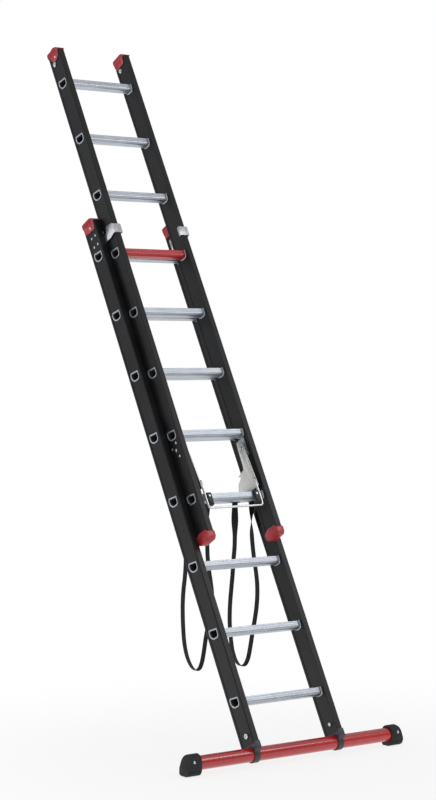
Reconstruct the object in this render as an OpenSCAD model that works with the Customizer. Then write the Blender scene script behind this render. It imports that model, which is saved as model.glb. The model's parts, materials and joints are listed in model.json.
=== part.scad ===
// Two-section extension ladder on a stabiliser bar, set at its working lean.
// Millimetres, +Z up. The origin is on the floor, midway between the feet and
// straight below the axis of the bar. +X is to the climber's right and +Y is
// away from the climber, towards the wall.
// Each section is drawn in its own frame: X across, Y from front to back and Z
// along the stiles, with Z = 0 level with the bar's axis and Y = 0 at the
// front edge of the treads.

/* [Stance] */
// Lean of the ladder from vertical, in degrees
lean = 28.3; // [15:0.1:35]
// Height of the bar's axis above the floor
bar_height = 40; // [39:1:50]
// How many rungs the fly section is raised past the base section
raised_rungs = 3; // [1:1:6]

/* [Stiles] */
// Clear width between the fly section's stiles
clear_w = 280; // [240:1:420]
// Width of a stile, across the ladder
stile_w = 25; // [20:0.1:30]
// Depth of a stile, front to back
stile_d = 76; // [74:0.1:78]
// Wall of the stile profile
stile_wall = 1.8; // [1.4:0.1:2.6]
// Side gap between the fly section and the base section
side_gap = 6; // [5.8:0.1:10]
// Gap between the fly section's stiles and the base section's rungs
fly_gap = 1.5; // [1.4:0.1:3]
// Length of the stiles above the highest tread
top_len = 145.5; // [130:0.5:220]

/* [Rungs] */
// Distance from one tread to the next
rung_pitch = 250; // [230:1:300]
// Height of the lowest tread above the bar's axis
first_rung = 196.5; // [180:0.5:220]
// Depth of a rung, front to back
rung_d = 44; // [38:0.1:53]
// Wall of the hollow rungs
rung_wall = 2; // [1.6:0.1:2.6]
// How far the flared end stands out round the rung
flare = 3.4; // [2.4:0.1:4]

/* [Stabiliser] */
// Overall length of the bar with its feet
bar_len = 940; // [800:1:1200]
// Radius of the bar
bar_r = 24; // [20:0.1:28.8]
// Wall of the bar
bar_wall = 2; // [1.5:0.1:3]
// Length of a foot
foot_len = 54; // [48:1:90]

/* [Fittings] */
// Sheet thickness of the brackets and hooks
sheet = 3; // [2.5:0.1:3.2]
// Radius of the release rod
rod_r = 4; // [3:0.1:4.2]
// Radius of the pins that the hooks swing on
pin_r = 5; // [4:0.1:6]
// Width of the webbing
strap_w = 25; // [18:1:28]
// Thickness of the webbing
strap_t = 2.4; // [2:0.1:3]

/* [Hidden] */
$fn = 64;
rung_count = 8;
// The red rung, counted from the bottom of the fly section
marked_rung = 5;
fit_gap = 0.2;
run_gap = 0.05;
seat_gap = 0.6;

// Length from the bar's axis to the top of a section
section_len = first_rung + (rung_count - 1) * rung_pitch + top_len;
// The fly section sits this much lower than a whole number of rungs
fly_drop = 21.4;
fly_raise = raised_rungs * rung_pitch - fly_drop;

fly_half = clear_w / 2 + stile_w;
base_half = fly_half + side_gap + stile_w;
base_inner = base_half - stile_w;
fly_inner = clear_w / 2;

// The stile reaches this far in front of and behind the treads' front edge
rung_front = 7.5;
stile_front = -8;
stile_back = stile_front + stile_d;
stile_mid = stile_front + stile_d / 2;
// How far the fly section stands in front of the base section
fly_forward = stile_back - rung_front + fly_gap;
// Round outer front corner of a stile, and its tighter other corners
nose_r = 4;
edge_r = 1.5;
// Shallow channel down both faces of a stile, between a front and a rear rib.
// The rungs' flared ends sit in it
front_rib = 8;
rib_gap = 2.6;
rear_rib = stile_back - (rung_front + rung_d + flare + rib_gap);
channel_deep = 1.2;

cap_top = 18;
stile_top = section_len - cap_top;
// The fly section's rear face clears the bar when it is right down
bar_clear = 1.1;
bar_y = stile_back - fly_forward + bar_clear + bar_r;
collar_wall = 4;
base_bottom = bar_r + collar_wall + 1;
fly_bottom = 26;

// Rung outline, about the front edge of the tread: a round back and belly, a
// flat tread that rises towards the back, an upright front and a round heel
tread_rise = 0.18;
belly_r = rung_d / 2;
belly_y = rung_front + belly_r;
belly_z = -4;
tread_top = 10;
heel_r = 10.5;
heel_z = -16;

// Latch hooks
hook_x = fly_inner - 13;
// Corner of the base section's tread that the hooks sit on
hook_seat = [rung_front, first_rung + raised_rungs * rung_pitch];
hook_pivot = hook_seat + [-40, 159.5];
hook_reach = norm(hook_pivot - hook_seat) - seat_gap;
bearing_at = hook_pivot + [fly_forward, -fly_raise];
rod_y = hook_pivot[0] - 27;
rod_z = hook_seat[1] - 78.5;
riser_x = hook_x - sheet - rod_r;
block_x = [riser_x - 24, riser_x - 5];

// Guide brackets, and the fly section's bolts that they take when it is down
plate_x = base_inner - sheet;
bolt_y = 42;
bolt_r = 5;
bolt_z = section_len - 59.8;
seat_at = [bolt_y - fly_forward, bolt_z - fly_drop];

// Webbing: the four sewn ends go round one rung of the base section
strap_rung = 4;
strap_sides = 8;
strap_gap = 0.2;
sleeve_t = 0.8;
strap_sink = 1;
twist_len = 130;
strap_hang = section_point(
    belly_y, first_rung + (strap_rung - 1) * rung_pitch + belly_z
) - [0, belly_r + strap_gap + sleeve_t - strap_sink];
// Routes of the hanging loops: across, and down from the rung
left_route = [
    [-143, 0], [-143, 30], [-143, 70], [-142, 110], [-140, 155], [-139, 205], [-143, 255],
    [-149, 300], [-152, 345], [-152, 390], [-150, 435], [-146, 480], [-138, 520],
    [-126, 553], [-110, 578], [-94, 589], [-78, 583], [-67, 560], [-59, 525],
    [-51, 480], [-42, 440], [-32, 400], [-25, 360], [-23, 320], [-28, 280],
    [-36, 235], [-42, 190], [-44, 145], [-44, 100], [-44, 65], [-44, 30], [-44, 0]
];
right_route = [
    [80, 0], [80, 30], [80, 65], [80, 105], [79, 155], [74, 205], [70, 255],
    [65, 300], [60, 345], [57, 390], [57, 435], [61, 480], [68, 525],
    [80, 560], [95, 583], [112, 592], [128, 587], [141, 565], [151, 525],
    [161, 475], [171, 430], [179, 385], [183, 340], [182, 295], [176, 250],
    [168, 205], [161, 155], [157, 110], [156, 70], [156, 30], [156, 0]
];
strap_ends = [left_route[0][0], left_route[len(left_route) - 1][0],
    right_route[0][0], right_route[len(right_route) - 1][0]];

BASE_NODES = [
    "base_stile_left", "base_stile_right", "base_cap_left", "base_cap_right", "base_cap_screws",
    "guide_bracket_left", "guide_bracket_right", "bracket_rivets",
    "end_plug_left", "end_plug_right", "end_bolts",
    "collar_left", "collar_right", "stabiliser_bar", "foot_left", "foot_right", "foot_screws",
    "strap_sleeves", "strap_left", "strap_right"
];
FLY_NODES = [
    "fly_stile_left", "fly_stile_right", "fly_cap_left", "fly_cap_right", "fly_cap_screws",
    "hinge_bolts", "fly_foot_left", "fly_foot_right",
    "latch_block_left", "latch_block_right", "block_rivets",
    "hook_bearing_left", "hook_bearing_right", "bearing_rivets"
];
HOOK_NODES = ["hook_left", "hook_right", "release_rod"];
RUNG_NODES = [
    for (section = ["base", "fly"], i = [1:rung_count]) str(section, "_rung_", i)
];

// ---- Frames ----

// Where a point [Y, Z] of the base section's frame stands above the floor
function section_point(y, z) = [
    (y - bar_y) * cos(lean) + z * sin(lean),
    bar_height - (y - bar_y) * sin(lean) + z * cos(lean)
];

// Puts a section's frame in its place above the floor
module at_lean() {
    translate([0, 0, bar_height]) rotate([-lean, 0, 0]) translate([0, -bar_y, 0]) children();
}

module in_base() {
    at_lean() children();
}

module in_fly() {
    at_lean() translate([0, -fly_forward, fly_raise]) children();
}

// side is -1 for the left and 1 for the right
module on_side(side) {
    mirror([side < 0 ? 1 : 0, 0, 0]) children();
}

// Extrudes an outline drawn as [Y, Z] from x0 to x1
module across(x0, x1) {
    translate([x0, 0, 0]) rotate([90, 0, 90]) linear_extrude(height = x1 - x0) children();
}

// A round bar along X
module pin_x(x0, x1, y, z, r) {
    translate([x0, y, z]) rotate([0, 90, 0]) cylinder(h = x1 - x0, r = r);
}

// ---- Stiles ----

module rounded_rect(w, d, r) {
    square([w - 2 * r, d], center = true);
    square([w, d - 2 * r], center = true);
    for (x = [-1, 1], y = [-1, 1]) translate([x * (w / 2 - r), y * (d / 2 - r)]) circle(r);
}

// Outer outline of a stile, about its middle with the front at -Y and the
// outside at +X
module stile_outline() {
    half_w = stile_w / 2;
    half_d = stile_d / 2;
    hull() {
        translate([half_w - nose_r, nose_r - half_d]) circle(nose_r);
        for (c = [[1, 1], [-1, 1], [-1, -1]])
            translate([c[0] * (half_w - edge_r), c[1] * (half_d - edge_r)]) circle(edge_r);
    }
}

// Hollow stile profile with a shallow channel down each face
module stile_profile() {
    difference() {
        stile_outline();
        rounded_rect(stile_w - 2 * (stile_wall + channel_deep), stile_d - 2 * stile_wall, 1);
        for (x = [-1, 1]) translate([x * stile_w / 2 - channel_deep, front_rib - stile_d / 2])
            square([2 * channel_deep, stile_d - front_rib - rear_rib]);
    }
}

// Rung outline grown by g, drawn as [Y, Z] about the tread's front edge
module rung_outline(g) {
    front = rung_front - g;
    top = g;
    intersection() {
        union() {
            translate([belly_y, belly_z]) circle(belly_r + g);
            translate([rung_front + heel_r, heel_z]) circle(heel_r + g);
            polygon([
                [front, top], [belly_y, top + tread_top], [belly_y, belly_z - belly_r - g],
                [rung_front + heel_r, heel_z - heel_r - g], [front, heel_z]
            ]);
        }
        polygon([
            [front, top],
            [front + 2 * belly_r + 10, top + tread_rise * (2 * belly_r + 10)],
            [front + 2 * belly_r + 10, -2 * belly_r - 30],
            [front, -2 * belly_r - 30]
        ]);
    }
}

module stile(z0, outer) {
    difference() {
        translate([outer - stile_w / 2, stile_mid, z0])
            linear_extrude(height = stile_top - z0) stile_profile();
        for (i = [0:rung_count - 1]) translate([0, 0, first_rung + i * rung_pitch])
            across(outer - stile_w - 1, outer + 1) rung_outline(fit_gap);
        children();
    }
}

module base_stile(side) {
    color([0.09, 0.09, 0.1]) in_base() on_side(side) stile(base_bottom, base_half) {
        rivet_places() pin_x(base_inner - 1, base_half + 1, 0, 0, rivet_r + fit_gap);
        pin_x(base_inner - 1, base_half + 1, end_bolt_y, end_bolt_z, end_bolt_r + fit_gap);
        pin_x(base_half - 4, base_half + 1, cap_screw_y, cap_screw_z, cap_screw_r + fit_gap);
    }
}

module fly_stile(side) {
    color([0.09, 0.09, 0.1]) in_fly() on_side(side) stile(fly_bottom, fly_half) {
        bearing_places() pin_x(fly_inner - 1, fly_half + 1, 0, 0, rivet_r + fit_gap);
        pin_x(fly_inner - 1, fly_half + 1, bearing_at[0], bearing_at[1], pin_r + fit_gap);
        pin_x(fly_half - 4, fly_half + 1, cap_screw_y, cap_screw_z, cap_screw_r + fit_gap);
        pin_x(fly_inner - 1, fly_half + 1, bolt_y, bolt_z, bolt_r + fit_gap);
    }
}

// ---- Rungs ----

// One hollow rung, flared against the outside of both stiles and beaded inside
module rung(half) {
    channel = half - channel_deep;
    inside = half - stile_w + channel_deep;
    difference() {
        union() {
            across(-channel - 1, channel + 1) rung_outline(0);
            for (s = [-1, 1]) on_side(s) {
                across(channel, channel + 1.6) rung_outline(flare);
                across(inside - 2.6, inside) rung_outline(flare - 1);
            }
        }
        across(-half - 2, half + 2) rung_outline(-rung_wall);
    }
}

module base_rung(i) {
    color([0.78, 0.79, 0.82]) in_base() translate([0, 0, first_rung + (i - 1) * rung_pitch])
        rung(base_half);
}

module fly_rung(i) {
    color(i == marked_rung ? [0.8, 0.1, 0.14] : [0.78, 0.79, 0.82])
        in_fly() translate([0, 0, first_rung + (i - 1) * rung_pitch]) rung(fly_half);
}

// ---- Top caps ----

cap_screw_y = 23;
cap_screw_z = section_len - 38;
cap_screw_r = 2.4;
cap_lip = 1.6;
pad_w = 17;
pad_y = stile_mid + 6;
pad_z = 12;
cheek_t = 2;

// Crown over the stile's end, with a plug inside, a cheek down the outer face
// and a smaller one with a raised pad down the inner face
module cap(outer) {
    inner_w = stile_w - 2 * (stile_wall + channel_deep) - 2 * fit_gap;
    inner_d = stile_d - 2 * stile_wall - 2 * fit_gap;
    inner = outer - stile_w;
    difference() {
        union() {
            across(inner - cheek_t, outer + cheek_t) polygon([
                [stile_front - cap_lip, stile_top], [stile_back + cap_lip, stile_top],
                [stile_back + cap_lip, section_len - 4], [stile_back - 1, section_len],
                [stile_front + 25, section_len], [stile_front + 13, section_len - 4],
                [stile_front + 2, section_len - 13], [stile_front - cap_lip, stile_top + 2]
            ]);
            translate([outer - stile_w / 2, stile_mid, stile_top - 26])
                linear_extrude(height = 27) rounded_rect(inner_w, inner_d, 0.8);
            across(outer, outer + cheek_t) children();
            across(inner - cheek_t, inner) polygon([
                [stile_back, stile_top], [stile_back, stile_top - 10],
                [stile_back - 7, stile_top - 29], [stile_front + 17, stile_top - 27],
                [stile_front + 12, stile_top]
            ]);
            across(inner - cheek_t - 1.2, inner) translate([pad_y, stile_top - pad_z]) square(pad_w, center = true);
        }
        pin_x(inner, outer + cheek_t + 1, cap_screw_y, cap_screw_z, cap_screw_r + fit_gap);
        for (y = [14:9:50]) translate([outer + cheek_t - 0.8, y - 1, stile_top - 3])
            cube([2, 2, 30]);
    }
}

module base_cap(side) {
    color([0.78, 0.1, 0.13]) in_base() on_side(side) cap(base_half) polygon([
        [1, stile_top - 35], [stile_back - 12, stile_top - 33], [stile_back - 2, stile_top - 10],
        [stile_back, stile_top], [stile_front + 4, stile_top], [stile_front + 6, stile_top - 12]
    ]);
}

module fly_cap(side) {
    color([0.78, 0.1, 0.13]) in_fly() on_side(side) difference() {
        cap(fly_half) {
            translate([stile_mid - 3, stile_top - 7]) circle(28);
            polygon([
                [stile_mid - 31, stile_top - 7], [stile_mid + 25, stile_top - 7],
                [stile_back, stile_top - 4], [stile_back, stile_top], [stile_front + 3, stile_top]
            ]);
        }
        pin_x(fly_half - 6, fly_half + 4, bolt_y, bolt_z, washer_r + 0.4);
    }
}

module cap_screw(outer) {
    pin_x(outer - 14, outer + cheek_t + 0.6, cap_screw_y, cap_screw_z, cap_screw_r);
    difference() {
        pin_x(outer + cheek_t, outer + cheek_t + 2, cap_screw_y, cap_screw_z, 5);
        translate([outer + cheek_t + 1.2, cap_screw_y - 0.7, cap_screw_z - 6]) cube([2, 1.4, 12]);
    }
}

module base_cap_screws() {
    color([0.85, 0.86, 0.88]) in_base() for (s = [-1, 1]) on_side(s) cap_screw(base_half);
}

module fly_cap_screws() {
    color([0.85, 0.86, 0.88]) in_fly() for (s = [-1, 1]) on_side(s) cap_screw(fly_half);
}

// ---- Guide brackets and their rivets ----

rivet_r = 2.4;
rivet_head = 4.6;
guide_z = section_len - 91;
wrap_z = [section_len - 110, section_len - 73];
wrap_gap = 1;
wrap_y = -fly_forward + stile_front - wrap_gap;
lip_in = 4;

module rivet_places() {
    for (y = [12, 38], z = [-21, 16]) translate([0, y, guide_z + z]) children();
}

// Plate riveted inside the base stile; its front wraps round the fly's stile,
// and the seat in its top edge takes the fly's hinge bolt
module guide_bracket(side) {
    wrap_in = fly_inner - lip_in;
    color([0.75, 0.76, 0.78]) in_base() on_side(side) {
        difference() {
            across(plate_x, base_inner) {
                polygon([
                    [wrap_y - sheet, wrap_z[1]], [wrap_y, wrap_z[1] + 2],
                    [seat_at[0] - 12, guide_z + 27],
                    [seat_at[0] - 7, seat_at[1] - 4], [seat_at[0] + 6.4, seat_at[1] - 8.2],
                    [seat_at[0] + 15, seat_at[1] - 9.8], [2, guide_z + 29], [48, guide_z + 29],
                    [48, guide_z - 34], [2, guide_z - 34], [-6, guide_z - 25],
                    [seat_at[0] - 19, guide_z - 27], [wrap_y, wrap_z[0] - 1],
                    [wrap_y - sheet, wrap_z[0]]
                ]);
                translate([seat_at[0] + 16, guide_z + 18]) circle(6.4);
            }
            rivet_places() pin_x(plate_x - 1, base_inner + 1, 0, 0, rivet_r + fit_gap);
        }
        translate([wrap_in - sheet, wrap_y - sheet, wrap_z[0]])
            cube([base_inner - wrap_in + sheet, sheet, wrap_z[1] - wrap_z[0]]);
        translate([wrap_in - sheet, wrap_y - sheet, wrap_z[0]])
            cube([sheet, 13, wrap_z[1] - wrap_z[0]]);
    }
}

// A rivet through a stile, from the outer face to a plate inside it
module rivet(outer, inner) {
    pin_x(inner, outer + 0.2, 0, 0, rivet_r);
    pin_x(outer, outer + 1.4, 0, 0, rivet_head);
    pin_x(inner - 1.2, inner, 0, 0, rivet_head - 0.6);
}

module bracket_rivets() {
    color([0.85, 0.86, 0.88]) in_base() for (s = [-1, 1]) on_side(s)
        rivet_places() rivet(base_half - channel_deep, plate_x);
}

// ---- Foot of the base section ----

end_bolt_z = base_bottom + 33.5;
end_bolt_r = 4;
end_bolt_y = stile_mid - 10;
collar_w = stile_w - 1;
collar_lip = base_bottom + 8.5;
plug_top = base_bottom + 66.5;

// Plastic plug inside the stile's lower end, with a flange under it
module end_plug(side) {
    inner_w = stile_w - 2 * (stile_wall + channel_deep) - 2 * fit_gap;
    inner_d = stile_d - 2 * stile_wall - 2 * fit_gap;
    color([0.07, 0.07, 0.07]) in_base() on_side(side) difference() {
        translate([base_half - stile_w / 2, stile_mid, base_bottom])
            linear_extrude(height = plug_top - base_bottom) rounded_rect(inner_w, inner_d, 0.8);
        pin_x(base_inner, base_half, end_bolt_y, end_bolt_z, end_bolt_r + fit_gap);
    }
}

module end_bolts() {
    color([0.8, 0.81, 0.83]) in_base() for (s = [-1, 1]) on_side(s) {
        outer = base_half - channel_deep;
        inner = base_inner + channel_deep;
        pin_x(inner - 3, outer + 1, end_bolt_y, end_bolt_z, end_bolt_r);
        difference() {
            pin_x(outer, outer + 5, end_bolt_y, end_bolt_z, 9.5);
            translate([outer + 2, end_bolt_y, end_bolt_z]) rotate([0, 90, 0]) cylinder(h = 4, r = 4, $fn = 6);
        }
        translate([inner - 6, end_bolt_y, end_bolt_z]) rotate([0, 90, 0]) cylinder(h = 6, r = 7, $fn = 6);
    }
}

// Collar round the bar, with a lip up the front of the stile
module collar(side) {
    x0 = base_half - (stile_w + collar_w) / 2;
    x1 = x0 + collar_w;
    ring_r = bar_r + collar_wall;
    lip_y = stile_front - fit_gap;
    top = base_bottom - fit_gap;
    color([0.19, 0.2, 0.21]) in_base() on_side(side) difference() {
        union() {
            pin_x(x0, x1, bar_y, 0, ring_r);
            across(x0, x1) polygon([
                [lip_y - collar_wall, collar_lip - 3], [lip_y - collar_wall + 3, collar_lip],
                [lip_y, collar_lip], [lip_y, top], [bar_y + ring_r - 1, top],
                [bar_y + ring_r - 1, 2], [bar_y, -2], [bar_y - ring_r + 2, 0],
                [lip_y - collar_wall, 10]
            ]);
        }
        pin_x(x0 - 1, x1 + 1, bar_y, 0, bar_r + fit_gap);
    }
}

module stabiliser_bar() {
    half = bar_len / 2 - bar_end;
    color([0.8, 0.1, 0.13]) translate([0, 0, bar_height]) difference() {
        pin_x(-half, half, 0, 0, bar_r);
        pin_x(-half - 1, half + 1, 0, 0, bar_r - bar_wall);
        for (s = [-1, 1]) translate([s * foot_screw_x, 0, 0]) rotate([90 + foot_screw_tilt, 0, 0])
            cylinder(h = bar_r + 5, r = foot_screw_r + fit_gap);
    }
}

foot_screw_x = bar_len / 2 - 24;
foot_screw_tilt = -20;
foot_screw_r = 2.4;
foot_r = bar_r + 3;
screw_seat = foot_r - 1;
// The bar stops this far inside the foot's end
bar_end = 18;
// The foot's round top is centred this far above the bar's axis
arch_up = 6;
// Round toe under the front of the foot, and the flat sole behind it
toe = [-4, foot_r - 4];
sole_back = foot_r - 6;
groove_w = 2;

// Rubber foot on the end of the bar, with grooves across the toe and the sole
module foot(side) {
    x0 = bar_len / 2 - foot_len;
    x1 = bar_len / 2;
    top = bar_height + arch_up + foot_r + 1;
    color([0.06, 0.06, 0.06]) on_side(side) difference() {
        intersection() {
            union() {
                pin_x(x0, x1, 0, bar_height + arch_up, foot_r);
                pin_x(x0, x1, toe[0], toe[1], toe[1]);
                across(x0, x1) polygon([
                    [toe[0], 0], [sole_back, 0], [foot_r, 8], [foot_r, bar_height + arch_up],
                    [-foot_r, bar_height + arch_up], [-foot_r, toe[1]]
                ]);
            }
            // The outer end leans in towards the top
            translate([0, 60, 0]) rotate([90, 0, 0]) linear_extrude(height = 120) polygon([
                [x0, 0], [x1 - 4, 0], [x1, 4], [x1, 26], [x1 - 13, top - 8], [x1 - 20, top], [x0, top]
            ]);
        }
        pin_x(x0 - 1, x1 - bar_end + fit_gap, 0, bar_height, bar_r + fit_gap);
        for (y = [3, 11]) translate([x0 - 1, y - groove_w / 2, -1]) cube([foot_len + 2, groove_w, 3]);
        for (a = [12:15:72]) across(x0 - 1, x1 + 1) translate(toe) rotate(180 + a)
            translate([toe[1] - 2, -groove_w / 2]) square([4, groove_w]);
        translate([foot_screw_x, 0, bar_height]) rotate([90 + foot_screw_tilt, 0, 0]) {
            cylinder(h = foot_r + 5, r = foot_screw_r + fit_gap);
            translate([0, 0, screw_seat]) cylinder(h = 8, r = 5.6);
        }
    }
}

module foot_screws() {
    color([0.85, 0.86, 0.88]) for (s = [-1, 1]) on_side(s)
        translate([foot_screw_x, 0, bar_height]) rotate([90 + foot_screw_tilt, 0, 0]) {
            translate([0, 0, bar_r - 4]) cylinder(h = screw_seat - bar_r + 4.5, r = foot_screw_r);
            difference() {
                translate([0, 0, screw_seat]) cylinder(h = 2.6, r = 5);
                translate([-6, -0.7, screw_seat + 1.6]) cube([12, 1.4, 3]);
            }
        }
}

// ---- Webbing ----

// Sewn ends of the webbing, round one rung of the base section
module strap_sleeves() {
    color([0.08, 0.08, 0.09]) in_base()
        translate([0, 0, first_rung + (strap_rung - 1) * rung_pitch])
        for (x = strap_ends) across(x - strap_w / 2, x + strap_w / 2) difference() {
            rung_outline(strap_gap + sleeve_t);
            rung_outline(strap_gap);
        }
}

// Flat section of the webbing at p, for a route heading along d. It leaves the
// rung with its width along X and turns a quarter as it drops
function strap_ring(p, d) =
    let (turn = 90 * (1 - cos(180 * min(p[1] / twist_len, 1))) / 2, ease = 1.08)
    [
        for (k = [0:strap_sides - 1])
            let (
                a = 360 * (k + 0.5) / strap_sides,
                u = strap_w / 2 * cos(a) * ease,
                v = strap_t / 2 * sin(a) * ease,
                in_plane = u * cos(turn) + v * sin(turn),
                along_y = v * cos(turn) - u * sin(turn)
            )
            [p[0] + d[1] * in_plane, strap_hang[0] + along_y, strap_hang[1] - p[1] + d[0] * in_plane]
    ];

function heading(route, i) =
    let (a = route[max(i - 1, 0)], b = route[min(i + 1, len(route) - 1)], v = b - a)
    v / norm(v);

module webbing(route) {
    n = len(route);
    s = strap_sides;
    rings = [for (i = [0:n - 1]) each strap_ring(route[i], heading(route, i))];
    walls = [
        for (i = [0:n - 2], k = [0:s - 1])
            let (a = i * s + k, b = i * s + (k + 1) % s)
            each [[a, b, b + s], [a, b + s, a + s]]
    ];
    first = [for (k = [0:s - 1]) s - 1 - k];
    last = [for (k = [0:s - 1]) (n - 1) * s + k];
    polyhedron(points = rings, faces = concat(walls, [first, last]));
}

module strap_left() {
    color([0.08, 0.08, 0.09]) webbing(left_route);
}

module strap_right() {
    color([0.08, 0.08, 0.09]) webbing(right_route);
}

// ---- Fly section's fittings ----

washer_r = 10.6;

// Bolts through the stiles that drop into the guide brackets' seats when the
// fly is right down, with a nut inside
module hinge_bolts() {
    color([0.85, 0.86, 0.88]) in_fly() for (s = [-1, 1]) on_side(s) {
        pin_x(fly_inner - 6, base_inner - 0.6, bolt_y, bolt_z, bolt_r);
        pin_x(fly_half, fly_half + 1.6, bolt_y, bolt_z, washer_r);
        pin_x(fly_inner - 1.4, fly_inner, bolt_y, bolt_z, washer_r - 2);
        translate([fly_inner - 5, bolt_y, bolt_z]) rotate([0, 90, 0]) cylinder(h = 4, r = 8, $fn = 6);
    }
}

// Red shoe on the fly's lower end
module fly_foot(side) {
    inner_w = stile_w - 2 * (stile_wall + channel_deep) - 2 * fit_gap;
    inner_d = stile_d - 2 * stile_wall - 2 * fit_gap;
    rear = stile_back;
    color([0.78, 0.1, 0.13]) in_fly() on_side(side) difference() {
        union() {
            translate([fly_half - stile_w - cap_lip, 0, 0]) across(0, stile_w + 2 * cap_lip) polygon([
                [stile_front - 3, 48], [stile_front - 3, 30], [stile_front + 6, 20],
                [rear - 22, 17], [rear - 8, 21], [rear, 32], [rear, 46], [rear - 22, 60],
                [stile_front + 12, 60]
            ]);
            translate([fly_half - stile_w / 2, stile_mid, fly_bottom])
                linear_extrude(height = 46) rounded_rect(inner_w, inner_d, 0.8);
        }
        difference() {
            translate([fly_half - stile_w / 2, stile_mid, fly_bottom])
                linear_extrude(height = 60) offset(delta = fit_gap) stile_outline();
            translate([fly_half - stile_w / 2, stile_mid, fly_bottom - 1])
                linear_extrude(height = 62) rounded_rect(inner_w, inner_d, 0.8);
        }
    }
}

block_z = [first_rung - 47.5, first_rung + 0.5];
block_y = -3.6;
block_rivet_z = first_rung - 12.5;

// Plastic block on the front of the lowest rung, beside the rod's riser
module latch_block(side) {
    color([0.07, 0.07, 0.07]) in_fly() on_side(side) difference() {
        across(block_x[0], block_x[1]) polygon([
            [block_y + 2, block_z[1]], [rung_front - fit_gap, block_z[1]],
            [rung_front - fit_gap, block_z[0] + 13], [12, block_z[0]],
            [block_y + 3, block_z[0]], [block_y, block_z[0] + 6], [block_y, block_z[1] - 4]
        ]);
        across(block_x[0] - 1, block_x[1] + 1) translate([0, first_rung]) rung_outline(fit_gap);
        translate([(block_x[0] + block_x[1]) / 2, rung_front + 6, block_rivet_z]) rotate([90, 0, 0])
            cylinder(h = 20, r = rivet_r + fit_gap);
    }
}

module block_rivets() {
    color([0.9, 0.9, 0.92]) in_fly() for (s = [-1, 1]) on_side(s)
        translate([(block_x[0] + block_x[1]) / 2, 0, block_rivet_z]) rotate([90, 0, 0]) {
            translate([0, 0, -rung_front + fit_gap]) cylinder(h = rung_front - block_y, r = rivet_r);
            translate([0, 0, -block_y]) cylinder(h = 1.8, r = 5);
        }
}

// Rivets of the hook bearing, in the fly's own frame
module bearing_places() {
    for (p = [[-10, 25], [20, 13], [-10, -26]])
        translate([0, bearing_at[0] + p[0], bearing_at[1] + p[1]]) children();
}

// Plate riveted inside the fly's stile, with the stud that a hook swings on
module hook_bearing(side) {
    y = bearing_at[0];
    z = bearing_at[1];
    channel = fly_half - channel_deep;
    // The plate ends short of the bead of the rung above it
    rung_above = first_rung + rung_pitch + belly_z - belly_r - flare;
    top = rung_above - rib_gap - z;
    color([0.78, 0.79, 0.8]) in_fly() on_side(side) {
        difference() {
            across(fly_inner - sheet, fly_inner) translate([y, z]) polygon([
                [-18, -34], [8, -34], [30, -6], [30, top - 13], [18, top], [-18, top]
            ]);
            bearing_places() pin_x(fly_inner - sheet - 1, fly_inner + 1, 0, 0, rivet_r + fit_gap);
        }
        pin_x(fly_inner - 0.5, channel + 0.2, y, z, pin_r);
        pin_x(channel, channel + 1.4, y, z, pin_r + 1.4);
        pin_x(hook_x + 1, fly_inner - sheet, y, z, pin_r + 3);
        pin_x(hook_x - sheet - 2.6, hook_x + 1, y, z, pin_r);
        pin_x(hook_x - sheet - 2.6, hook_x - sheet - 1, y, z, pin_r + 2.4);
    }
}

module bearing_rivets() {
    color([0.85, 0.86, 0.88]) in_fly() for (s = [-1, 1]) on_side(s)
        bearing_places() rivet(fly_half - channel_deep, fly_inner - sheet);
}

// ---- Hooks and release rod ----

// Hook plate: an arm from the pivot down to a round-bottomed claw, whose edge
// is an arc about the pivot so that it swings clear of the rung it sits on.
// The points are [Y, Z] from the corner of the tread that the claw sits on
module hook(side) {
    color([0.7, 0.71, 0.71]) in_base() on_side(side) across(hook_x - sheet, hook_x) difference() {
        translate(hook_seat) polygon([
            [-26, 188], [-52, 183], [-61, 124], [-66, 63], [-71, -7],
            [-71, -40], [45, -40], [45, 28], [33, 49], [9, 64], [23, 74],
            [2, 79], [-17, 83], [-21, 101], [-23, 161]
        ]);
        difference() {
            translate(hook_pivot - [120, 240]) square([240, 180]);
            translate(hook_pivot) circle(hook_reach, $fn = 128);
        }
        translate(hook_pivot) circle(pin_r + run_gap);
    }
}

// Rod across the front, turned up at both ends to the hook plates
module release_rod() {
    color([0.82, 0.83, 0.85]) in_base() {
        pin_x(-riser_x, riser_x, rod_y, rod_z, rod_r);
        for (s = [-1, 1]) on_side(s) {
            translate([riser_x, rod_y, rod_z]) sphere(rod_r);
            translate([riser_x, rod_y, rod_z]) cylinder(h = 90, r = rod_r);
            translate([riser_x, rod_y, rod_z + 86]) cube([rod_r, rod_r, 22]);
        }
    }
}

// ---- The model ----

base_stile(-1);  // base_stile_left
base_stile(1);  // base_stile_right
base_cap(-1);  // base_cap_left
base_cap(1);  // base_cap_right
base_cap_screws();
guide_bracket(-1);  // guide_bracket_left
guide_bracket(1);  // guide_bracket_right
bracket_rivets();
end_plug(-1);  // end_plug_left
end_plug(1);  // end_plug_right
end_bolts();
collar(-1);  // collar_left
collar(1);  // collar_right
stabiliser_bar();
foot(-1);  // foot_left
foot(1);  // foot_right
foot_screws();
strap_sleeves();
strap_left();
strap_right();
fly_stile(-1);  // fly_stile_left
fly_stile(1);  // fly_stile_right
fly_cap(-1);  // fly_cap_left
fly_cap(1);  // fly_cap_right
fly_cap_screws();
hinge_bolts();
fly_foot(-1);  // fly_foot_left
fly_foot(1);  // fly_foot_right
latch_block(-1);  // latch_block_left
latch_block(1);  // latch_block_right
block_rivets();
hook_bearing(-1);  // hook_bearing_left
hook_bearing(1);  // hook_bearing_right
bearing_rivets();
hook(-1);  // hook_left
hook(1);  // hook_right
release_rod();
for (i = [1:rung_count]) {
    base_rung(i);
    fly_rung(i);
}
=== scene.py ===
import json
from math import asin, atan2, cos, pi, radians, sin

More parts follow.
